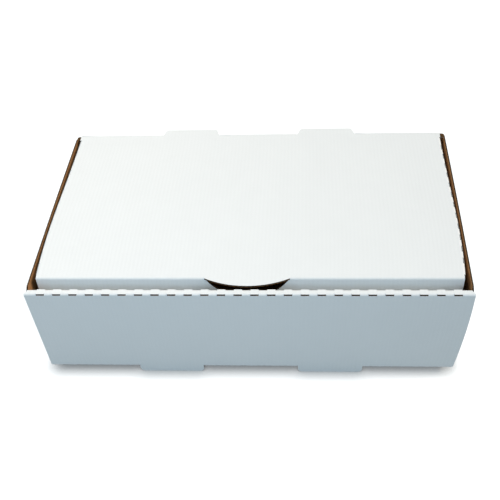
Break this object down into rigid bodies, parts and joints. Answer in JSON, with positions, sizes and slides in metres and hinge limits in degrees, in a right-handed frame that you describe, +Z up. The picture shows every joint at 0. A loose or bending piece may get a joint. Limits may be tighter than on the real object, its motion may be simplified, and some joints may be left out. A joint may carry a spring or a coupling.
{
  "type": "catering box",
  "caption": "Flat white corrugated catering box, folded from one sheet, with a rolled-over front wall and a hinged tuck-in lid with a thumb tab.",
  "frame": {"origin": "middle of the footprint, on the surface that the box stands on", "axes": "+X to the right along the front wall, +Y from the front wall to the lid's hinge, +Z up"},
  "size_m": [0.343, 0.2058, 0.1003],
  "materials": {
    "white_lined_board": "matt white liner outside, brown kraft liner inside and brown raw edges"
  },
  "bodies": {
    "tray": {"tray": "white_lined_board"},
    "lid": {"lid": "white_lined_board"}
  },
  "joints": [
    {"name": "lid_hinge", "type": "hinge", "parent": "tray", "child": "lid", "pos_m": [0, 0.09557, 0.09311], "axis": [-1, 0, 0], "range_deg": [0, 110]}
  ]
}
